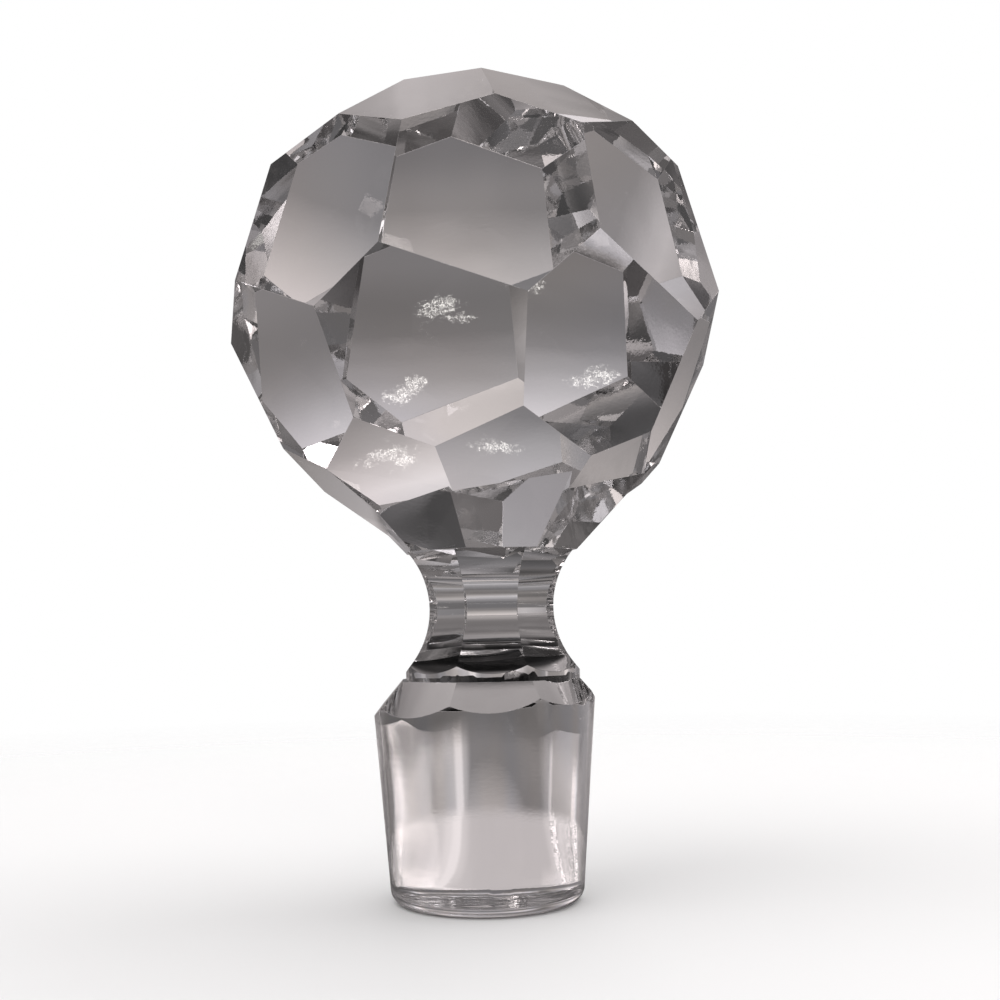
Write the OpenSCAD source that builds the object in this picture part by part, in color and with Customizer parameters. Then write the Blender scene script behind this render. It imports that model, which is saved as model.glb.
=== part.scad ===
// Cut-glass stopper: a faceted ball on a fluted neck, over a tapered ground plug.
// Millimetres, +Z up. The origin is the centre of the flat base of the plug.
// The side with azimuth 0 faces -Y; azimuths turn towards +X.

/* [Plug] */
// Diameter of the plug at its widest, just under the shoulder facets
plug_d = 25.4; // [18:0.1:40]
// Height of the plug from its base to the foot of the shoulder facets
plug_h = 22.2; // [12:0.1:40]
// Lean of the ground side away from the axis, degrees
plug_taper = 4; // [0:0.1:8]
// Rounding of the edge of the base
base_round = 1.6; // [0.4:0.1:3]

/* [Shoulder] */
// Slope of the shoulder facets from level, degrees
shoulder_slope = 50; // [30:1:65]
// Diameter of the uncut band between the shoulder and the flutes
band_d = 20; // [14:0.1:24]
// Height of that band in the middle of a panel
band_h = 0.9; // [0.3:0.1:3]
// How far off the axis the shoulder was cut
shoulder_shift = 0.7; // [0:0.05:1]
// Turn of the ring of shoulder facets, degrees
shoulder_turn = 2.7; // [-22:0.1:22]

/* [Neck] */
// Width of the neck across two flutes at the waist
waist_w = 14; // [9:0.1:18]
// Radius of the wheel that cut the flutes
flute_r = 10.1; // [8:0.1:20]
// Height of the ridge over the flutes above the waist
ridge_rise = 6.5; // [4:0.1:9]
// How far off the axis the flutes were cut
neck_shift = 1.1; // [0:0.05:1.5]
// Turn of the ring of flutes, degrees
neck_turn = -1; // [-22:0.1:22]

/* [Collar] */
// Height of the collar facets from the ridge to the ball
collar_h = 5.3; // [2:0.1:8]
// Slope of the collar facets from level, degrees
collar_slope = 48; // [43:1:60]
// Turn of the ring of collar facets, degrees
collar_turn = 7; // [-22:0.1:22]

/* [Ball] */
// Diameter of the ball over its facet corners
ball_d = 54.8; // [30:0.1:80]
// Facets in every ring
facets = 8; // [6:1:10]
// Height of the flat top above the ball's centre, as a part of its radius
table_reach = 0.806; // [0.75:0.002:0.9]

/* [Hand cutting] */
// Most that a facet's turn strays from its ring, degrees
hand_turn = 2; // [0:0.1:3]
// Most that a facet's lean strays from its ring, degrees
hand_lean = 2.5; // [0:0.1:3.5]
// Most that a facet's depth strays from its ring
hand_depth = 0.35; // [0:0.01:0.5]

/* [Crown ring] */
// Lean of the facets above level, degrees
crown_lean = 52.9; // [48:0.1:60]
// Depth of the facets from the ball's centre, as a part of its radius
crown_reach = 0.877; // [0.85:0.001:0.95]
// Turn of the ring, degrees
crown_turn = 6; // [-22:0.1:22]
// Which set of hand-cut strays the ring has
crown_hand = 108194; // [1:1:200000]

/* [Upper ring] */
// Lean of the facets above level, degrees
upper_lean = 16.5; // [10:0.1:24]
// Depth of the facets from the ball's centre, as a part of its radius
upper_reach = 0.901; // [0.87:0.001:0.95]
// Turn of the ring, degrees
upper_turn = 4.7; // [-22:0.1:22]
// Which set of hand-cut strays the ring has
upper_hand = 177820; // [1:1:200000]

/* [Lower ring] */
// Lean of the facets below level, degrees
lower_lean = 22; // [16:0.1:30]
// Depth of the facets from the ball's centre, as a part of its radius
lower_reach = 0.956; // [0.9:0.001:1]
// Turn of the ring, degrees
lower_turn = 11.4; // [-22:0.1:22]
// Which set of hand-cut strays the ring has
lower_hand = 186507; // [1:1:200000]

/* [Under ring] */
// Lean of the facets below level, degrees
under_lean = 53.2; // [48:0.1:60]
// Depth of the facets from the ball's centre, as a part of its radius
under_reach = 1.008; // [0.95:0.001:1.05]
// Turn of the ring, degrees
under_turn = 10.3; // [-22:0.1:22]
// Which set of hand-cut strays the ring has
under_hand = 82695; // [1:1:200000]

/* [Hidden] */
$fn = 180;
step = 360 / facets;
ball_r = ball_d / 2;
plug_r = plug_d / 2;
band_r = band_d / 2;
// levels from the base up
band_z = plug_h + (plug_r - band_r) * tan(shoulder_slope);
foot_z = band_z + band_h;
flute_x = waist_w / 2 + flute_r;
foot_rise = sqrt(flute_r ^ 2 - (flute_x - band_r) ^ 2);
waist_z = foot_z + foot_rise;
// a flute can't run out wider than the round blank it is cut in
rise = min(ridge_rise, 0.98 * foot_rise);
ridge_z = waist_z + rise;
ridge_x = flute_x - sqrt(flute_r ^ 2 - rise ^ 2);
// the collar facets meet the under ring of the ball here
seat_z = ridge_z + collar_h;
seat_x = ridge_x + collar_h / tan(collar_slope);
ball_z = seat_z + (under_reach * ball_r - cos(under_lean) * seat_x) / sin(under_lean);
collar_top = seat_z + 0.75 * collar_h;
reach = 2 * ball_d;

// everything beyond a flat that leans back from upright
module flat_cut(depth, lean) {
    rotate([0, -lean, 0])
        translate([depth, -reach / 2, -reach / 2])
            cube(reach);
}

// repeats a cut round the axis; azimuth 0 faces -Y
module ring(turn) {
    for (i = [0 : facets - 1])
        rotate([0, 0, turn + i * step - 90])
            children();
}

// a ring of the ball's facets, each a little off as a hand-held wheel leaves it
module facet_ring(lean, part, turn, hand, half = 0) {
    stray = rands(-1, 1, 3 * facets, hand);
    for (i = [0 : facets - 1])
        rotate([0, 0, turn + (i + half) * step - 90 + hand_turn * stray[i]])
            flat_cut(
                part * ball_r + hand_depth * stray[2 * facets + i],
                lean + hand_lean * stray[facets + i]
            );
}

module ball() {
    translate([0, 0, ball_z])
        difference() {
            sphere(r = 1.15 * ball_r);
            translate([-reach / 2, -reach / 2, table_reach * ball_r])
                cube(reach);
            facet_ring(crown_lean, crown_reach, crown_turn, crown_hand, 0.5);
            facet_ring(upper_lean, upper_reach, upper_turn, upper_hand);
            facet_ring(-lower_lean, lower_reach, lower_turn, lower_hand, 0.5);
            facet_ring(-under_lean, under_reach, under_turn, under_hand);
        }
}

// eight flats that widen from the ridge up into the ball
module collar() {
    difference() {
        translate([0, 0, ridge_z])
            cylinder(r = ball_r, h = collar_top - ridge_z);
        translate([neck_shift, 0, ridge_z])
            ring(collar_turn)
                flat_cut(ridge_x * sin(collar_slope), collar_slope - 90);
    }
}

// the flutes leave a plain round band uncut at the foot
module neck() {
    translate([neck_shift, 0, 0])
        difference() {
            translate([0, 0, plug_h])
                cylinder(r = band_r, h = ridge_z - plug_h);
            translate([0, 0, waist_z])
                ring(neck_turn)
                    translate([flute_x, 0, 0])
                        rotate([90, 0, 0])
                            cylinder(r = flute_r, h = reach, center = true);
        }
}

module plug() {
    side = [cos(plug_taper), -sin(plug_taper)];
    base_x = plug_r - plug_h * tan(plug_taper);
    round_x = base_x - base_round;
    difference() {
        rotate_extrude()
            union() {
                translate([round_x, base_round])
                    intersection() {
                        circle(r = base_round);
                        translate([0, -base_round])
                            square(base_round * 2);
                    }
                polygon([
                    [0, 0],
                    [round_x, 0],
                    [round_x + base_round * side[0], base_round + base_round * side[1]],
                    [plug_r + band_h * tan(plug_taper), plug_h + band_h],
                    [plug_r, band_z],
                    [0, band_z]
                ]);
            }
        translate([shoulder_shift, 0, band_z])
            ring(shoulder_turn)
                flat_cut(band_r * sin(shoulder_slope), 90 - shoulder_slope);
    }
}

module stopper() {
    color([0.86, 0.88, 0.9])
        union() {
            plug();
            neck();
            collar();
            ball();
        }
}

stopper();
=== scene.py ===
import math

import bpy
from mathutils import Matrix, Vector


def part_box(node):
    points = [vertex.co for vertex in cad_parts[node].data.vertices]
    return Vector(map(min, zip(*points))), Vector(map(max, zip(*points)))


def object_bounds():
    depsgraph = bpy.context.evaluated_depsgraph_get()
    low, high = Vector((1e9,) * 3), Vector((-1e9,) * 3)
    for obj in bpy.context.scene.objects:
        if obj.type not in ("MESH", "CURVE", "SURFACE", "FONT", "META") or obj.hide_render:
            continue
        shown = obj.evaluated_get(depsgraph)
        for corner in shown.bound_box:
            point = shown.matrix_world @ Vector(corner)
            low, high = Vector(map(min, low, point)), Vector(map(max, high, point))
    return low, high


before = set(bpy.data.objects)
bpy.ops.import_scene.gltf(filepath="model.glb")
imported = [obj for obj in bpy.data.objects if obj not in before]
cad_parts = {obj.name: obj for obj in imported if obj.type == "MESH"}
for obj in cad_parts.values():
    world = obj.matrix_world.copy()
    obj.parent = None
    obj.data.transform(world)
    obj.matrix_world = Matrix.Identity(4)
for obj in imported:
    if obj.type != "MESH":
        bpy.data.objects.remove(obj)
cadLow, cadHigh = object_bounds()
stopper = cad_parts["stopper"]
print("stage: stopper loaded,", len(stopper.data.polygons), "faces")

# its foot and its full height, read off the stopper itself
stopperLow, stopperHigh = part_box("stopper")
fullHeight = stopperHigh.z - stopperLow.z

nearNothing = 0.0000001  # keeps a division away from nought
noiseMiddle = (0.40, 0.60)  # most of a noise's values lie between these


# small node helpers, so that each tree below reads in a few lines
def addNode(tree, kind, label="", **settings):
    node = tree.nodes.new(kind)
    node.label = label
    for name, value in settings.items():
        setattr(node, name, value)
    return node


def setInputs(node, **values):
    for name, value in values.items():
        node.inputs[name].default_value = value
    return node


def mathNode(tree, operation, first, second=None, third=None, label="", clamp=False):
    node = addNode(tree, "ShaderNodeMath", label, operation=operation, use_clamp=clamp)
    for socket, value in zip(node.inputs, (first, second, third)):
        if value is None:
            continue
        if hasattr(value, "is_output"):
            tree.links.new(value, socket)
        else:
            socket.default_value = value
    return node.outputs[0]


def mixColours(tree, factor, first, second, label="", blend="MIX"):
    node = addNode(tree, "ShaderNodeMix", label, data_type="RGBA", blend_type=blend)
    for socket, value in ((node.inputs[0], factor), (node.inputs[6], first), (node.inputs[7], second)):
        if hasattr(value, "is_output"):
            tree.links.new(value, socket)
        else:
            socket.default_value = value
    return node.outputs[2]


def addNoise(tree, place, scale, detail, label):
    noise = setInputs(addNode(tree, "ShaderNodeTexNoise", label), Scale=scale, Detail=detail)
    tree.links.new(place, noise.inputs["Vector"])
    return noise.outputs[0]


# what lies between two values is spread over 0 to 1, or over another pair; smooth eases both ends
def spread(tree, socket, between, label, onto=(0.0, 1.0), smooth=False):
    node = addNode(tree, "ShaderNodeMapRange", label)
    if smooth:
        node.interpolation_type = "SMOOTHSTEP"
    tree.links.new(socket, node.inputs["Value"])
    setInputs(node, **{"From Min": between[0], "From Max": between[1], "To Min": onto[0], "To Max": onto[1]})
    return node.outputs["Result"]


# a band between two heights, with soft ends
def heightBand(tree, heightSocket, band, soft, label):
    low, high = band
    above = spread(tree, heightSocket, (low - soft, low + soft), label + " from", smooth=True)
    below = spread(tree, heightSocket, (high + soft, high - soft), label + " to", smooth=True)
    return mathNode(tree, "MULTIPLY", above, below, label=label)


# the three shares of a direction or a place: across, along and up
def splitUp(tree, socket):
    parts = addNode(tree, "ShaderNodeSeparateXYZ")
    tree.links.new(socket, parts.inputs[0])
    return parts.outputs["X"], parts.outputs["Y"], parts.outputs["Z"]


# a colour that is the same in red, green and blue
def grey(brightness):
    return (brightness, brightness, brightness, 1)


def emptyMaterial(name):
    material = bpy.data.materials.new(name)
    material.use_nodes = True
    material.node_tree.nodes.clear()
    return material, material.node_tree


cameraSettings = {
    "distance": 0.1534,  # from the stopper's axis
    "height": 0.0316,  # above the table
    "lens": 47.9,  # this and the sensor in millimetres
    "sensor": 36,
    "tilt": 1.15,  # degrees, the hand that held it wasn't quite level
    "shiftX": 0.0175,
    "shiftY": 0.125,
    "clipStart": 0.005,
}


def makeCamera(settings):
    data = bpy.data.cameras.new("camera")
    data.sensor_width = settings["sensor"]
    data.lens = settings["lens"]
    data.shift_x = settings["shiftX"]
    data.shift_y = settings["shiftY"]
    data.clip_start = settings["clipStart"]
    camera = bpy.data.objects.new("camera", data)
    bpy.context.scene.collection.objects.link(camera)
    camera.location = (0, -settings["distance"], settings["height"])
    camera.rotation_euler = (math.radians(90), math.radians(settings["tilt"]), 0)
    bpy.context.scene.camera = camera


makeCamera(cameraSettings)
print("stage: camera set")


# what the glass sees round it. Each wall goes from the floor up: height in degrees above
# the horizon, then brightness
roomSettings = {
    "behind": (
        (-24, 0.80), (-12, 0.62), (-6, 0.34), (0, 0.14), (6, 0.17), (8.5, 0.25), (10, 0.34), (11.6, 0.42),
        (12.6, 0.38), (13.6, 0.30), (14.6, 0.24), (15.6, 0.18), (16.6, 0.17), (18.5, 0.20), (21, 0.17),
        (24, 0.24), (27, 0.30), (29.6, 0.40), (30.6, 0.35), (31.6, 0.25), (32.4, 0.17), (33.6, 0.37),
        (34.5, 0.31), (35.4, 0.21), (36.4, 0.16), (38.2, 0.36), (42, 0.22), (52, 0.09), (66, 0.02), (90, 0.0),
    ),
    "front": (
        (-24, 0.03), (-6, 0.11), (12, 0.13), (21, 0.02), (30, 0.08), (36, 0.17), (50, 0.10), (68, 0.18),
        (90, 0.10),
    ),
    "left": (
        (-24, 0.02), (-12, 0.15), (0, 0.30), (12, 0.15), (26, 0.10), (36, 0.16), (56, 0.13), (90, 0.02),
    ),
    "right": (
        (-24, 0.07), (0, 0.10), (8, 0.02), (24, 0.12), (38, 0.04), (60, 0.01), (78, 0.05), (90, 0.0),
    ),
    # soft windows, lamps and dark corners in degrees: across (0 is straight behind, right is
    # positive), height, half width, half height, and last the brightness
    "panels": {
        "dark doorway": (-39, -12, 6, 4, -0.68),
        "window": (157, 12, 6, 4, 1.05),
        "window top": (153, 8, 6, 4, 0.55),
        "tall window": (169, 36, 6, 8, 0.93),
        "far window": (-155, 12, 6, 4, 0.77),
        "wall light": (18, 32, 6, 4, 0.24),
        "table edge": (2, -8, 6, 4, 0.31),
        "shelf": (36, 15.2, 4, 2.6, 0.48),
        "curtain": (-54, 18, 10, 5, 0.62),
        "curtain edge": (-25, 12.5, 3, 2, -0.20),
        "wall picture": (-14, 12.4, 5, 2.2, 0.13),
        "ceiling light": (-5, 44, 6, 4, 0.30),
        "dark beam": (-63, 40, 6, 4, -0.83),
        "dark ceiling": (-37, 47, 7, 4, -0.13),
        "side light": (-51, 56, 6, 4, 0.81),
    },
    "darkest": 0.012,  # no corner is darker, before contrast and gain
    "contrast": 1.5,
    "gain": 2.1,
    # the low wall behind, just over the table, from left to right: degrees across, brightness
    "lowWall": (
        (-90, 0.25), (-60, 0.30), (-50, 0.42), (-46.5, 0.85), (-44, 0.85), (-42, 0.40), (-36, 0.30),
        (-28, 0.26), (-26.5, 0.55), (-25, 0.25), (-22, 0.20), (-10, 0.19), (0, 0.20), (4.5, 0.21),
        (7.2, 0.46), (8.4, 0.80), (9.8, 0.78), (11.5, 0.50), (17, 0.42), (24, 0.25), (30, 0.15), (38, 0.20),
        (40, 0.42), (43, 0.42), (45, 0.30), (54, 0.20), (70, 0.15),
    ),
    "lowWallTop": 1.2,  # degrees above the horizon
    "lowWallSoft": 1.8,
    "lowWallFoot": (-0.26, -0.14),  # it fades in between these, as sines of the height
    "lowWallReach": 0.94,  # how far round to the sides it goes, as a sine
    "lowWallEnds": (0.4, 1.2),  # and it fades out there between these shares of the cosine
    # the floor beyond the table, from under the low wall down, and lower towards the sides
    "beyondTop": -0.5,
    "beyondEnd": -6.5,
    "beyondFar": 0.15,  # brightness at its top
    "beyondNear": 0.80,  # and at its end
    "beyondBow": 0.50,
    "doorway": (-39, -8.5, 4, 2.6, 1.0),  # a dark doorway at the foot of the low wall
    "doorwayTone": 0.02,
    # small bright reflections, placed as the panels are
    "glints": {
        "glint over the window": (6.6, 16.6, 0.55, 0.20, 1.3),
        "its middle": (6.1, 16.3, 0.40, 0.16, 1.2),
        "its tail": (7.3, 16.0, 0.45, 0.14, 1.0),
        "glint under it": (5.2, 13.4, 0.35, 0.26, 1.2),
        "its low tail": (4.5, 12.9, 0.40, 0.22, 1.2),
        "glint on the left": (-15.7, 17.9, 0.45, 0.20, 1.1),
        "glint lower left": (-12.8, 14.4, 0.35, 0.22, 1.1),
        "its end": (-13.5, 14.0, 0.40, 0.16, 1.0),
        "glint on the shelf": (15.4, 35.0, 0.80, 0.16, 0.85),
        "its corner": (16.4, 34.6, 0.40, 0.20, 0.8),
        "ceiling glint": (-1.2, 30.9, 0.75, 0.16, 1.0),
    },
    "glintColour": (1.0, 0.975, 0.93, 1),
    # a coarse noise breaks their edges up, and they show where it and the patch come to enough
    "raggedScale": 420.0,
    "raggedStretch": (0.55, 0.55, 1.3),
    "raggedShare": 2.6,
    "raggedBetween": (1.65, 2.15),
    "patchBetween": (0.10, 0.35),  # and nothing shows outside the patches
    # a fine noise breaks the inside up into sparks
    "sparkScale": 1100.0,
    "sparkBetween": (0.46, 0.62),
    "sparkLight": (0.06, 0.85),
    # in front the room is a jumble of dark and bright things
    "jumbleScale": 8.0,
    "jumbleLight": (0.2, 2.8),
    "jumbleFullFrom": -0.35,  # this far to the front, as a share of the direction
    # slow changes of colour from one part of the room to the next
    "hueScale": 5.0,
    "hueShare": 0.45,
    "warm": (1.0, 0.955, 0.86, 1),
    "cool": (0.90, 0.955, 1.0, 1),
    "darkTint": (1.0, 0.935, 0.955, 1),  # the darker parts are a warm grey
    "lightTint": (1.0, 0.93, 0.95, 1),  # the light is a little mauve
    "lightTintAt": 1 / 3,  # from this brightness up
    "whiteShare": 0.03,  # how much of the white background the glass and its polish show
    "fill": 0.8,  # light that falls on the table from all round
}


def sine(degrees):
    return math.sin(math.radians(degrees))


# where an angle lies along a ramp that runs over one part of a direction, from -1 to 1
def sinePlace(degrees):
    return (sine(degrees) + 1) / 2


# and the same place for a part of a direction that a node gives
def rampPlace(tree, socket, label):
    return mathNode(tree, "MULTIPLY_ADD", socket, 0.5, 0.5, label)


def brightnessRamp(tree, socket, stops, label, place):
    ramp = addNode(tree, "ShaderNodeValToRGB", label)
    tree.links.new(socket, ramp.inputs["Fac"])
    ramp.color_ramp.interpolation = "EASE"
    marks = ramp.color_ramp.elements
    marks.remove(marks[1])
    for index, (where, brightness) in enumerate(stops):
        position = place(where)
        mark = marks[0] if index == 0 else marks.new(position)
        mark.position = position
        mark.color = grey(brightness)
    return ramp.outputs["Color"]


# four sides blended by where a direction or a place lies, seen from above
def fourSides(tree, acrossSocket, alongSocket, sides, sideFrom=0.0):
    squareX = mathNode(tree, "MULTIPLY", acrossSocket, acrossSocket)
    squareY = mathNode(tree, "MULTIPLY", alongSocket, alongSocket)
    both = mathNode(tree, "MAXIMUM", mathNode(tree, "ADD", squareX, squareY), nearNothing)
    sideShare = mathNode(tree, "DIVIDE", squareX, both, label="side share")
    if sideFrom > 0:
        sideShare = spread(tree, sideShare, (sideFrom, 1.0), "late side share", smooth=True)
    toBack = mathNode(tree, "GREATER_THAN", alongSocket, 0.0, label="to the back")
    toRight = mathNode(tree, "GREATER_THAN", acrossSocket, 0.0, label="to the right")
    frontOrBack = mixColours(tree, toBack, sides["front"], sides["behind"], "front or back")
    leftOrRight = mixColours(tree, toRight, sides["left"], sides["right"], "left or right")
    return mixColours(tree, sideShare, frontOrBack, leftOrRight, "all round")


# a soft patch in one direction, used for every window, lamp and dark corner
def makeSoftPanel():
    group = bpy.data.node_groups.new("softPanel", "ShaderNodeTree")
    for name in ("Direction", "Turn", "Reach"):
        group.interface.new_socket(name, in_out="INPUT", socket_type="NodeSocketVector")
    group.interface.new_socket("Mask", in_out="OUTPUT", socket_type="NodeSocketFloat")
    start = addNode(group, "NodeGroupInput")
    end = addNode(group, "NodeGroupOutput")
    turned = addNode(group, "ShaderNodeMapping", "seen from the panel", vector_type="TEXTURE")
    group.links.new(start.outputs["Direction"], turned.inputs["Vector"])
    group.links.new(start.outputs["Turn"], turned.inputs["Rotation"])
    group.links.new(start.outputs["Reach"], turned.inputs["Scale"])
    across, ahead, up = splitUp(group, turned.outputs[0])
    squares = mathNode(group, "MULTIPLY_ADD", up, up, mathNode(group, "MULTIPLY", across, across))
    soft = mathNode(group, "EXPONENT", mathNode(group, "MULTIPLY", squares, -0.5), label="soft bell")
    thisSide = mathNode(group, "GREATER_THAN", ahead, 0.0, label="on this side")
    mask = mathNode(group, "MULTIPLY", soft, thisSide)
    group.links.new(mask, end.inputs["Mask"])
    return group


def addPanel(tree, group, direction, panel, below, label):
    across, height, halfWidth, halfHeight, brightness = panel
    node = addNode(tree, "ShaderNodeGroup", label)
    node.node_tree = group
    tree.links.new(direction, node.inputs["Direction"])
    node.inputs["Turn"].default_value = (math.radians(height), 0, -math.radians(across))
    node.inputs["Reach"].default_value = (sine(halfWidth), 1, sine(halfHeight))
    return mathNode(tree, "MULTIPLY_ADD", node.outputs["Mask"], brightness, below, label=label)


# the wall just over the table, with the floor beyond and a dark doorway
def addLowWall(tree, shares, group, direction, above, settings):
    across, along, up = shares
    wall = brightnessRamp(tree, rampPlace(tree, across, "across"), settings["lowWall"], "low wall", sinePlace)
    bowed = mathNode(tree, "MULTIPLY", across, across)
    bowed = mathNode(tree, "MULTIPLY_ADD", bowed, settings["beyondBow"], up, "bowed height")
    heights = (sine(settings["beyondTop"]), sine(settings["beyondEnd"]))
    brightness = (settings["beyondFar"], settings["beyondNear"])
    beyond = spread(tree, bowed, heights, "floor beyond, lighter towards the table", brightness)
    wall = mathNode(tree, "MAXIMUM", wall, beyond, label="wall and floor")
    top = sine(settings["lowWallTop"])
    under = spread(tree, up, (top, top - sine(settings["lowWallSoft"])), "under its top", smooth=True)
    over = spread(tree, up, settings["lowWallFoot"], "over its foot", smooth=True)
    rest = math.sqrt(1 - settings["lowWallReach"] ** 2)
    ends = [rest * share for share in settings["lowWallEnds"]]
    behind = spread(tree, along, ends, "behind the stopper", smooth=True)
    share = mathNode(tree, "MULTIPLY", under, over)
    share = mathNode(tree, "MULTIPLY", share, behind, label="low wall share")
    lowPart = mixColours(tree, share, above, wall, "low wall")
    opening = addPanel(tree, group, direction, settings["doorway"], 0.0, "doorway")
    return mixColours(tree, opening, lowPart, grey(settings["doorwayTone"]), "with doorway")


# dark and bright things in front, fading out towards the back
def addJumble(tree, place, alongSocket, below, settings):
    noise = addNoise(tree, place, settings["jumbleScale"], 2.0, "jumble")
    things = spread(tree, noise, noiseMiddle, "dark and light things", settings["jumbleLight"])
    inFront = spread(tree, alongSocket, (0.0, settings["jumbleFullFrom"]), "in front", smooth=True)
    jumbled = mathNode(tree, "MULTIPLY", below, things)
    return mixColours(tree, inFront, below, jumbled, "with the jumble in front")


# small bright patches broken up into sparks
def addGlints(tree, group, direction, below, settings):
    drawnOut = addNode(tree, "ShaderNodeMapping", "drawn out sideways")
    tree.links.new(direction, drawnOut.inputs["Vector"])
    drawnOut.inputs["Scale"].default_value = settings["raggedStretch"]
    coarse = addNoise(tree, drawnOut.outputs[0], settings["raggedScale"], 3.0, "coarse noise")
    patches = 0.0
    for name, glint in settings["glints"].items():
        patches = addPanel(tree, group, direction, glint, patches, name)
    broken = mathNode(tree, "MULTIPLY_ADD", coarse, settings["raggedShare"], patches, "broken up")
    ragged = spread(tree, broken, settings["raggedBetween"], "ragged edges", smooth=True)
    within = spread(tree, patches, settings["patchBetween"], "only in the patches", smooth=True)
    dust = addNoise(tree, direction, settings["sparkScale"], 1.0, "fine noise")
    sparks = spread(tree, dust, settings["sparkBetween"], "bright and dull sparks", settings["sparkLight"])
    glow = mathNode(tree, "MULTIPLY", ragged, sparks)
    glow = mathNode(tree, "MULTIPLY", glow, within, label="sparks in the patches")
    sparkle = mixColours(tree, 1.0, glow, settings["glintColour"], "glint colour", "MULTIPLY")
    return mixColours(tree, 1.0, below, sparkle, "room with glints", "ADD")


# the rays that the glass mirrors or lets through
def glassRays(tree, path):
    return mathNode(tree, "MAXIMUM", path.outputs["Is Glossy Ray"], path.outputs["Is Transmission Ray"])


def makeRoom(settings):
    world = bpy.data.worlds.new("room")
    world.use_nodes = True
    tree = world.node_tree
    tree.nodes.clear()
    output = addNode(tree, "ShaderNodeOutputWorld")
    coordinates = addNode(tree, "ShaderNodeTexCoord")
    unit = addNode(tree, "ShaderNodeVectorMath", "direction", operation="NORMALIZE")
    tree.links.new(coordinates.outputs["Generated"], unit.inputs[0])
    direction = unit.outputs[0]
    across, along, up = splitUp(tree, direction)
    height = rampPlace(tree, up, "height")
    walls = {}
    for side in ("behind", "front", "left", "right"):
        walls[side] = brightnessRamp(tree, height, settings[side], side, sinePlace)
    seen = fourSides(tree, across, along, walls)
    panelGroup = makeSoftPanel()
    for name, panel in settings["panels"].items():
        seen = addPanel(tree, panelGroup, direction, panel, seen, name)
    seen = mathNode(tree, "MAXIMUM", seen, settings["darkest"], label="darkest corner")
    seen = mathNode(tree, "POWER", seen, settings["contrast"], label="contrast")
    seen = mathNode(tree, "MULTIPLY", seen, settings["gain"], label="gain")
    seen = addJumble(tree, direction, along, seen, settings)
    seen = addLowWall(tree, (across, along, up), panelGroup, direction, seen, settings)
    # its colours
    howLight = mathNode(tree, "MULTIPLY", seen, 1 / settings["lightTintAt"], label="how light", clamp=True)
    tint = mixColours(tree, howLight, settings["darkTint"], settings["lightTint"], "tint")
    tinted = mixColours(tree, 1.0, seen, tint, "tinted room", "MULTIPLY")
    hueNoise = addNoise(tree, direction, settings["hueScale"], 1.0, "hues")
    warmOrCool = spread(tree, hueNoise, noiseMiddle, "warm or cool")
    hues = mixColours(tree, warmOrCool, settings["warm"], settings["cool"], "warm and cool")
    tinted = mixColours(tree, settings["hueShare"], tinted, hues, "room hues", "MULTIPLY")
    tinted = addGlints(tree, panelGroup, direction, tinted, settings)
    # the camera, and a share of what the glass mirrors and lets through, gets the white background
    path = addNode(tree, "ShaderNodeLightPath")
    glassShare = mathNode(tree, "MULTIPLY", glassRays(tree, path), settings["whiteShare"])
    white = mathNode(tree, "MAXIMUM", path.outputs["Is Camera Ray"], glassShare, label="white background")
    withWhite = mixColours(tree, white, tinted, grey(1.0), "room with background")
    colour = mixColours(tree, path.outputs["Is Diffuse Ray"], withWhite, grey(settings["fill"]), "fill")
    background = addNode(tree, "ShaderNodeBackground")
    tree.links.new(colour, background.inputs["Color"])
    tree.links.new(background.outputs[0], output.inputs["Surface"])
    bpy.context.scene.world = world


makeRoom(roomSettings)
print("stage: room made")


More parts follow.
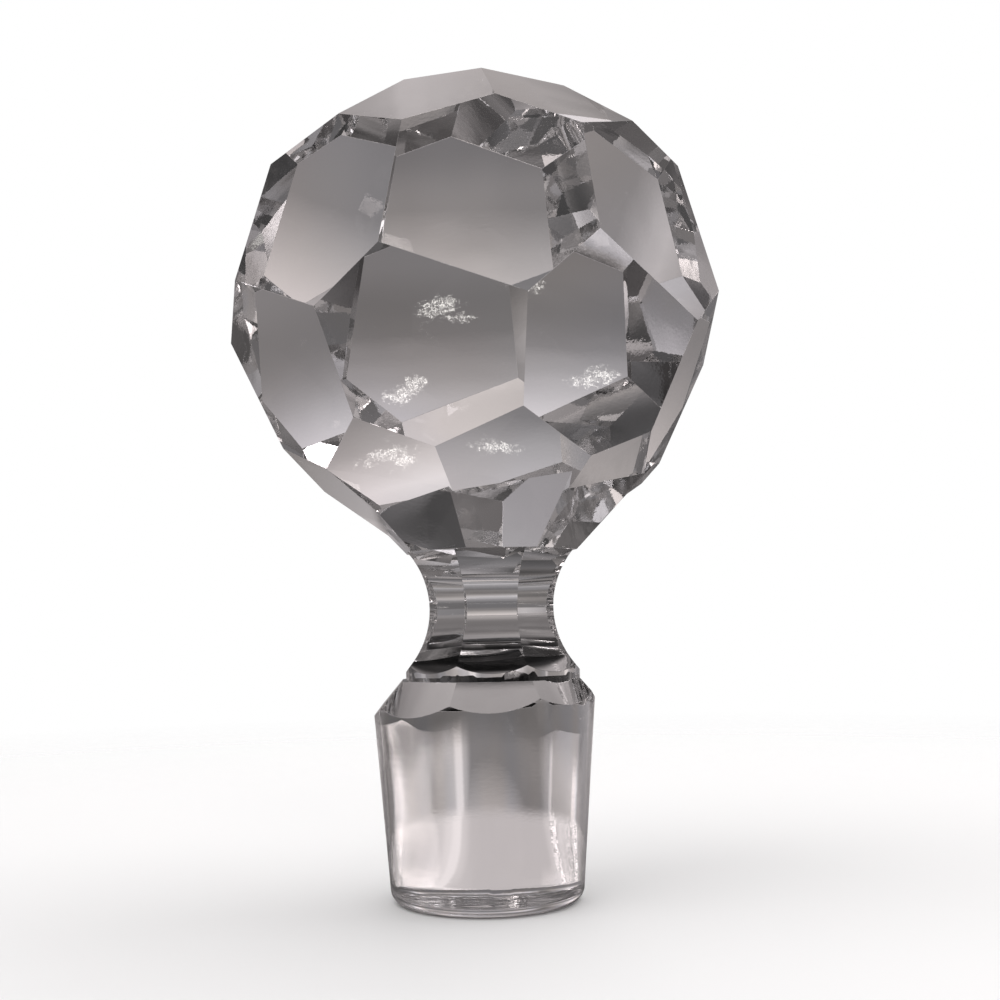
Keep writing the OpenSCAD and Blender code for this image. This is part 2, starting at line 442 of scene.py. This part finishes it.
tableSettings = {
    "colour": (0.8, 0.79, 0.79, 1),
    "roughness": 0.6,
    "sheen": 0.2,
    "corners": 96,
    "gap": 0.00005,  # between the table and the foot of the stopper
    "nearRadius": 0.06,  # plain table out to here
    "farRadius": 0.32,  # gone into the white background from here
    # how the glass sees the table, as painted light and shade that the table gives off as a glow. In front
    # and to the two sides: distance from the stopper's axis, then brightness
    "front": ((0.0, 0.26), (0.03, 0.18), (0.065, 0.12), (0.16, 0.08), (0.30, 0.20)),
    "left": ((0.0, 0.26), (0.03, 0.12), (0.12, 0.25), (0.22, 0.35), (0.30, 0.36)),
    "right": ((0.0, 0.0), (0.03, 0.19), (0.065, 0.29), (0.12, 0.17), (0.30, 0.02)),
    "sideFrom": 0.45,  # the sides take over from the back and the front beyond this share
    # behind, a painted reflection of the room on the table: degrees it is seen from, then brightness
    "byAngle": (
        (0, 0.43), (7, 0.43), (9, 0.30), (11, 0.20), (14, 0.14), (18, 0.08), (22, 0.05), (27, 0.06),
        (33, 0.24), (40, 0.27), (50, 0.18), (60, 0.06), (90, 0.03),
    ),
    # and close by, painted shade and light round the stopper's foot, as distance and brightness, to a look
    # from well above
    "near": (
        (0.0, 0.0), (0.012, 0.03), (0.022, 0.28), (0.051, 0.33), (0.059, 0.0), (0.066, 0.0), (0.078, 0.18),
        (0.12, 0.10),
    ),
    "nearSeenFrom": (12, 17),  # degrees, not at all and in full
    # painted highlights and shade in streaks over the table behind: degrees across, times how much lighter
    "streaks": (
        (-90, 0.8), (-60, 0.9), (-50, 1.2), (-47.5, 1.9), (-45, 1.9), (-42, 1.3), (-32, 1.15), (-29, 1.15),
        (-27.5, 1.5), (-25, 1.5), (-23.5, 1.1), (-20, 0.95), (0, 0.94), (4.5, 0.98), (7.2, 1.15), (8.6, 1.5),
        (10.2, 1.5), (12, 1.35), (16, 1.15), (22, 0.9), (30, 0.8), (39, 0.85), (42, 1.25), (46, 1.25),
        (49, 1.1), (60, 1.4), (90, 1.0),
    ),
    # the painted light streaks well off to the sides get painted speckles of sparkle, much finer up and down
    # than across
    "speckleAcross": 30.0,
    "speckleUp": 330.0,
    "speckleBetween": (0.42, 0.58),
    "speckleLight": (0.45, 1.45),
    "speckleAside": (0.33, 0.41),  # from this far to the side on, as a sine
    "speckleOver": (1.1, 1.35),  # on streaks lighter than this
    # rays that left the stopper between these two heights find a painted dark band of shade on the table
    # behind it
    "footBand": (0.0250, 0.0292),
    "footBandSoft": 0.0006,
    "footBandShare": 0.93,
    "neckBand": (0.0304, 0.0440),  # and between these it is one even painted tone
    "neckBandShare": 0.75,
    "neckTone": 0.20,
    "backEdge": 0.15,  # the table ends here behind the stopper
    "backEdgeSoft": 0.09,
    # in front it is a jumble of painted light and shade
    "jumbleScale": 24.0,
    "jumbleLight": (0.6, 2.2),
    "jumbleFullFrom": -0.05,  # this far in front of the axis
    "contrast": 1.5,
    "gain": 2.1,
    "tint": (1.0, 0.93, 0.93, 1),
}

leastAway = 0.0001  # keeps the turn round the axis finite at the axis itself
justOverOne = 1.001  # keeps the slope of a look straight down finite


# where an angle above the table lies on the view ramp, which runs from straight down to level
def slopePlace(degrees):
    return 1 - sine(degrees)


# painted speckles of sparkle on the painted light streaks
def addSpeckle(tree, across, facing, below, settings):
    place = addNode(tree, "ShaderNodeCombineXYZ", "across and up")
    tree.links.new(mathNode(tree, "MULTIPLY", across, settings["speckleAcross"]), place.inputs["X"])
    tree.links.new(mathNode(tree, "MULTIPLY", facing, settings["speckleUp"]), place.inputs["Y"])
    noise = addNoise(tree, place.outputs[0], 1.0, 2.0, "speckle")
    spots = spread(tree, noise, settings["speckleBetween"], "speckles", settings["speckleLight"])
    aside = spread(tree, mathNode(tree, "ABSOLUTE", across), settings["speckleAside"], "off to the sides")
    light = spread(tree, below, settings["speckleOver"], "only the light streaks")
    share = mathNode(tree, "MULTIPLY", aside, light)
    speckled = mathNode(tree, "MULTIPLY", below, spots)
    return mixColours(tree, share, below, speckled, "with speckles")


# the height a ray left the stopper at is worked back from the distance and the angle it came
# down at; it tells the rays of the neck's foot, which get a painted dark band of shade, from those of the
# neck
def addFootBand(tree, facing, away, atBack, below, settings):
    rise = mathNode(tree, "SUBTRACT", 1.0, facing, label="sine of the angle")
    run = mathNode(tree, "SUBTRACT", justOverOne, mathNode(tree, "MULTIPLY", rise, rise))
    slope = mathNode(tree, "DIVIDE", rise, mathNode(tree, "SQRT", run), label="slope")
    leftAt = mathNode(tree, "MULTIPLY", away, slope, label="height it left the stopper at")
    shares = {}
    for band in ("footBand", "neckBand"):
        share = heightBand(tree, leftAt, settings[band], settings["footBandSoft"], band)
        share = mathNode(tree, "MULTIPLY", share, atBack)
        shares[band] = mathNode(tree, "MULTIPLY", share, settings[band + "Share"], label=band + " share")
    lightShare = mathNode(tree, "SUBTRACT", 1.0, shares["footBand"])
    dark = mathNode(tree, "MULTIPLY", below, lightShare, label="with foot band")
    even = mixColours(tree, shares["neckBand"], dark, grey(settings["neckTone"]), "with even neck")
    return even, shares["neckBand"]


def mixShaders(tree, factor, first, second, label=""):
    mix = addNode(tree, "ShaderNodeMixShader", label)
    for socket, value in zip(mix.inputs, (factor, first, second)):
        tree.links.new(value, socket)
    return mix.outputs[0]


# the table as the glass sees it: its painted light, shade and reflections, and how far it has ended at the
# back
def tableSeenInGlass(tree, place, away, settings):
    across, along, _ = splitUp(tree, place)
    share = mathNode(tree, "DIVIDE", away, settings["farRadius"], label="share of the radius")
    sides = {}
    for side in ("near", "front", "left", "right"):
        stops = [(distance / settings["farRadius"], brightness) for distance, brightness in settings[side]]
        sides[side] = brightnessRamp(tree, share, stops, side, float)
    facing = addNode(tree, "ShaderNodeLayerWeight", "how low it is seen").outputs["Facing"]
    # painted reflection of the room on the table behind, by the angle it is seen from
    byAngle = brightnessRamp(tree, facing, settings["byAngle"], "by angle", slopePlace)
    # painted shade and light of the table close to the stopper, for looks from well above
    fromAbove = [slopePlace(degrees) for degrees in settings["nearSeenFrom"]]
    steep = spread(tree, facing, fromAbove, "seen from well above", smooth=True)
    near = mathNode(tree, "MULTIPLY", sides["near"], steep)
    sides["behind"] = mathNode(tree, "MAXIMUM", byAngle, near, label="behind")
    paintedTableLight = fourSides(tree, across, along, sides, settings["sideFrom"])
    paintedTableLight = mathNode(tree, "POWER", paintedTableLight, settings["contrast"], label="contrast")
    paintedTableLight = mathNode(tree, "MULTIPLY", paintedTableLight, settings["gain"], label="gain")
    turned = mathNode(tree, "DIVIDE", across, mathNode(tree, "MAXIMUM", away, leastAway), label="turned by")
    turnedPlace = rampPlace(tree, turned, "across")
    # painted highlights and shade in streaks over the table behind, speckled to the sides
    streaks = brightnessRamp(tree, turnedPlace, settings["streaks"], "streaks", sinePlace)
    streaks = addSpeckle(tree, turned, facing, streaks, settings)
    atBack = mathNode(tree, "GREATER_THAN", along, 0.0, label="at the back")
    streaks = mixColours(tree, atBack, grey(1.0), streaks, "streaks behind")
    paintedTableLight = mathNode(tree, "MULTIPLY", paintedTableLight, streaks, label="with streaks")
    # painted dark band at the neck's foot and a painted even tone for the neck
    paintedTableLight, neck = addFootBand(tree, facing, away, atBack, paintedTableLight, settings)
    # on the table the jumble is painted light and shade in front
    paintedTableLight = addJumble(tree, place, along, paintedTableLight, settings)
    back = (settings["backEdge"], settings["backEdge"] + settings["backEdgeSoft"])
    ended = spread(tree, along, back, "back edge", smooth=True)
    # but the painted even band of the neck goes on past it
    ended = mathNode(tree, "MULTIPLY", ended, mathNode(tree, "SUBTRACT", 1.0, neck), label="past the edge")
    return paintedTableLight, ended


def makeTable(settings):
    bpy.ops.mesh.primitive_circle_add(
        vertices=settings["corners"], radius=settings["farRadius"], fill_type="TRIFAN"
    )
    table = bpy.context.object
    table.name = "table"
    table.location.z = cadLow.z - settings["gap"]
    material, tree = emptyMaterial("paleTable")
    output = addNode(tree, "ShaderNodeOutputMaterial")
    surface = setInputs(addNode(tree, "ShaderNodeBsdfPrincipled"), Roughness=settings["roughness"])
    surface.inputs["Base Color"].default_value = settings["colour"]
    surface.inputs["Specular IOR Level"].default_value = settings["sheen"]
    place = addNode(tree, "ShaderNodeTexCoord").outputs["Object"]
    length = addNode(tree, "ShaderNodeVectorMath", "distance from the stopper", operation="LENGTH")
    tree.links.new(place, length.inputs[0])
    away = length.outputs["Value"]
    fade = spread(tree, away, (settings["nearRadius"], settings["farRadius"]), "fade", smooth=True)
    clear = addNode(tree, "ShaderNodeBsdfTransparent").outputs[0]
    plain = mixShaders(tree, fade, surface.outputs[0], clear, "table fading into the background")
    # the glass sees the table as a glow of painted light, shade and reflections, up to its back edge
    paintedTableLight, ended = tableSeenInGlass(tree, place, away, settings)
    tinted = mixColours(tree, 1.0, paintedTableLight, settings["tint"], "table tint", "MULTIPLY")
    # the table glows for the glass with this painted light and shade, though it is no lamp
    glow = addNode(tree, "ShaderNodeEmission", "table in the glass")
    tree.links.new(tinted, glow.inputs["Color"])
    seen = mixShaders(tree, ended, glow.outputs[0], clear, "table and what lies beyond it")
    path = addNode(tree, "ShaderNodeLightPath")
    whole = mixShaders(tree, glassRays(tree, path), plain, seen, "to the eye or to the glass")
    tree.links.new(whole, output.inputs["Surface"])
    table.data.materials.append(material)


makeTable(tableSettings)
print("stage: table laid")


lampSettings = {
    "key": {"place": (-0.35, -0.25, 0.70), "size": 0.6, "power": 2.2, "seenInGlass": False},
    "fill": {"place": (0.4, 0.1, 0.65), "size": 0.6, "power": 1.5, "seenInGlass": False},
    "back": {"place": (0.1, 0.45, 0.60), "size": 0.5, "power": 1.0, "seenInGlass": False},
}


def makeLamp(name, settings, target):
    data = bpy.data.lights.new(name, "AREA")
    data.shape = "SQUARE"
    data.size = settings["size"]
    data.energy = settings["power"]
    lamp = bpy.data.objects.new(name, data)
    bpy.context.scene.collection.objects.link(lamp)
    lamp.location = settings["place"]
    lamp.rotation_euler = (target - lamp.location).to_track_quat("-Z", "Y").to_euler()
    lamp.visible_transmission = settings["seenInGlass"]
    lamp.visible_glossy = settings["seenInGlass"]


for lampName, oneLamp in lampSettings.items():
    makeLamp(lampName, oneLamp, Vector((0, 0, fullHeight / 2)))
print("stage: lamps hung")


crystalSettings = {
    "ior": 1.545,
    "clear": (0.99, 0.99, 0.985, 1),
    "smoky": (0.975, 0.955, 0.965, 1),  # faint mauve cast in slow patches
    "castScale": 38.0,
    "castBetween": (0.35, 0.65),
    "waveScale": 95.0,  # slow unevenness the polishing wheel leaves
    "waveDepth": 0.00002,
    "grainScale": 2600.0,  # what is left of the cutting marks
    "grainStretch": (0.6, 0.6, 1.0),
    "grainDepth": 0.0000006,
    # hairline scratches, only where it was handled
    "scratchScale": 34.0,
    "scratchWidth": 0.0022,
    "scratchRoughness": 0.10,
    "handledScale": 70.0,
    "handledBetween": (0.56, 0.66),
    # the ground part of the plug: the first three are parts of the stopper's full height
    "groundBand": (0.016, 0.205),
    "groundSoft": 0.006,
    "groundWander": 0.02,  # its ends are uneven by this much
    "wanderScale": 160.0,
    "groundDepth": 0.0000012,
    "groundRoughness": 0.02,
    "unevenScale": 420.0,
    "unevenLeast": 0.4,  # least share of the ground roughness
    "unevenMore": 1.2,  # what the noise adds to it
}


# the wheel's slow waves, the fine marks, the hairlines and the ground part of the plug
def makeCutPolish(settings):
    group = bpy.data.node_groups.new("cutPolish", "ShaderNodeTree")
    for name in ("Wave Depth", "Grain Depth", "Ground Depth", "Scratch Roughness", "Ground Roughness"):
        group.interface.new_socket(name, in_out="INPUT", socket_type="NodeSocketFloat")
    for name in ("Height", "Roughness", "Cast"):
        group.interface.new_socket(name, in_out="OUTPUT", socket_type="NodeSocketFloat")
    start = addNode(group, "NodeGroupInput")
    end = addNode(group, "NodeGroupOutput")
    place = addNode(group, "ShaderNodeTexCoord").outputs["Object"]
    _, _, up = splitUp(group, place)
    level = mathNode(group, "SUBTRACT", up, stopperLow.z)
    level = mathNode(group, "DIVIDE", level, fullHeight, label="level")
    # the ground part of the plug has stronger marks and uneven ends
    wander = addNoise(group, place, settings["wanderScale"], 2.0, "uneven ends")
    lowest = mathNode(group, "SUBTRACT", level, settings["groundWander"] / 2)
    wandering = mathNode(group, "MULTIPLY_ADD", wander, settings["groundWander"], lowest, "wandering level")
    ground = heightBand(group, wandering, settings["groundBand"], settings["groundSoft"], "ground part")
    # slow waves and fine marks
    waves = addNoise(group, place, settings["waveScale"], 1.0, "slow waves")
    waves = mathNode(group, "MULTIPLY", waves, start.outputs["Wave Depth"])
    stretched = addNode(group, "ShaderNodeMapping", "drawn out round the plug")
    group.links.new(place, stretched.inputs["Vector"])
    stretched.inputs["Scale"].default_value = settings["grainStretch"]
    marks = addNoise(group, stretched.outputs[0], settings["grainScale"], 2.0, "fine marks")
    groundDepth = start.outputs["Ground Depth"]
    markDepth = mathNode(group, "MULTIPLY_ADD", ground, groundDepth, start.outputs["Grain Depth"])
    height = mathNode(group, "MULTIPLY_ADD", marks, markDepth, waves, label="waves and marks")
    group.links.new(height, end.inputs["Height"])
    # hairlines run where a noise crosses its middle value
    paths = addNoise(group, place, settings["scratchScale"], 7.0, "hairline paths")
    offMiddle = mathNode(group, "ABSOLUTE", mathNode(group, "SUBTRACT", paths, 0.5))
    onLine = spread(group, offMiddle, (settings["scratchWidth"], 0.0), "hairlines", smooth=True)
    handling = addNoise(group, place, settings["handledScale"], 1.0, "handling")
    handled = spread(group, handling, settings["handledBetween"], "where it was handled", smooth=True)
    scratches = mathNode(group, "MULTIPLY", onLine, handled, label="hairline mask")
    scratchRoughness = mathNode(group, "MULTIPLY", scratches, start.outputs["Scratch Roughness"])
    uneven = addNoise(group, place, settings["unevenScale"], 3.0, "uneven grinding")
    uneven = mathNode(group, "MULTIPLY_ADD", uneven, settings["unevenMore"], settings["unevenLeast"])
    uneven = mathNode(group, "MULTIPLY", ground, uneven)
    groundRoughness = mathNode(group, "MULTIPLY", uneven, start.outputs["Ground Roughness"])
    roughness = mathNode(group, "MAXIMUM", scratchRoughness, groundRoughness, label="roughness")
    group.links.new(roughness, end.inputs["Roughness"])
    # faint cast of the glass in slow patches
    patches = addNoise(group, place, settings["castScale"], 2.0, "slow patches")
    cast = spread(group, patches, settings["castBetween"], "cast", smooth=True)
    group.links.new(cast, end.inputs["Cast"])
    return group


def makeCrystal(settings):
    material, tree = emptyMaterial("cutCrystal")
    output = addNode(tree, "ShaderNodeOutputMaterial")
    glass = addNode(tree, "ShaderNodeBsdfPrincipled", "crystal")
    setInputs(glass, IOR=settings["ior"], Metallic=0.0)
    glass.inputs["Transmission Weight"].default_value = 1.0
    polish = addNode(tree, "ShaderNodeGroup", "cut and polish")
    polish.node_tree = makeCutPolish(settings)
    setInputs(polish, **{
        "Wave Depth": settings["waveDepth"],
        "Grain Depth": settings["grainDepth"],
        "Ground Depth": settings["groundDepth"],
        "Scratch Roughness": settings["scratchRoughness"],
        "Ground Roughness": settings["groundRoughness"],
    })
    cast = polish.outputs["Cast"]
    colour = mixColours(tree, cast, settings["clear"], settings["smoky"], "colour of the glass")
    tree.links.new(colour, glass.inputs["Base Color"])
    tree.links.new(polish.outputs["Roughness"], glass.inputs["Roughness"])
    bump = setInputs(addNode(tree, "ShaderNodeBump", "polish"), Strength=1.0, Distance=1.0)
    tree.links.new(polish.outputs["Height"], bump.inputs["Height"])
    tree.links.new(bump.outputs["Normal"], glass.inputs["Normal"])
    tree.links.new(glass.outputs[0], output.inputs["Surface"])
    return material


# the cut edges are polished over a little, as acid polishing leaves them
edgeSettings = {
    "weld": 0.000002,  # points this close are one
    "width": 0.00026,
    "segments": 2,
    "fromAngle": 22,  # degrees; anything less is a curved face, not a cut edge
    "smoothUnder": 9.5,  # degrees between the faces of one smooth curve
    "footRounding": 0.0018,  # the rounded foot ends here; it is smooth up to fromAngle
    "ridgeLevel": 0.438,  # of the full height; above it every face is a flat cut
}


# flat cuts stay dead flat and the turned faces stay smooth, whatever the edges do
def makeFaceKeeper(settings):
    tree = bpy.data.node_groups.new("keepFacesTrue", "GeometryNodeTree")
    tree.interface.new_socket("Geometry", in_out="INPUT", socket_type="NodeSocketGeometry")
    tree.interface.new_socket("Geometry", in_out="OUTPUT", socket_type="NodeSocketGeometry")
    start = addNode(tree, "NodeGroupInput")
    end = addNode(tree, "NodeGroupOutput")
    _, _, up = splitUp(tree, addNode(tree, "GeometryNodeInputPosition").outputs[0])
    ridgeHeight = settings["ridgeLevel"] * fullHeight
    inHead = mathNode(tree, "GREATER_THAN", up, ridgeHeight, label="in the head")
    aboveFoot = mathNode(tree, "GREATER_THAN", up, settings["footRounding"], label="above the foot")
    turn = addNode(tree, "GeometryNodeInputMeshEdgeAngle").outputs["Unsigned Angle"]
    bent = mathNode(tree, "GREATER_THAN", turn, math.radians(settings["smoothUnder"]), label="bent edge")
    footEdge = mathNode(tree, "GREATER_THAN", turn, math.radians(settings["fromAngle"]), label="foot edge")
    bent = mathNode(tree, "MULTIPLY", bent, aboveFoot)
    cutEdge = mathNode(tree, "MAXIMUM", footEdge, bent, label="cut edge")
    normals = addNode(tree, "GeometryNodeSetMeshNormal", mode="SHARPNESS")
    tree.links.new(start.outputs[0], normals.inputs["Mesh"])
    normals.inputs["Remove Custom"].default_value = True
    tree.links.new(cutEdge, normals.inputs["Edge Sharpness"])
    tree.links.new(inHead, normals.inputs["Face Sharpness"])
    tree.links.new(normals.outputs[0], end.inputs[0])
    return tree


def polishEdges(piece, settings):
    weld = piece.modifiers.new("closed skin", "WELD")
    weld.merge_threshold = settings["weld"]
    edge = piece.modifiers.new("polished edges", "BEVEL")
    edge.width = settings["width"]
    edge.segments = settings["segments"]
    edge.limit_method = "ANGLE"
    edge.angle_limit = math.radians(settings["fromAngle"])
    edge.use_clamp_overlap = True
    faces = piece.modifiers.new("true faces", "NODES")
    faces.node_group = makeFaceKeeper(settings)


polishEdges(stopper, edgeSettings)
print("stage: edges polished")

crystal = makeCrystal(crystalSettings)
for slot in stopper.material_slots:
    slot.material = crystal
print("stage: crystal on the stopper")

scene = bpy.context.scene
scene.view_settings.view_transform = "Standard"
# light goes to and fro between the cuts many times before it leaves
scene.cycles.max_bounces = 40
scene.cycles.transmission_bounces = 40
scene.cycles.glossy_bounces = 24
scene.cycles.transparent_max_bounces = 16
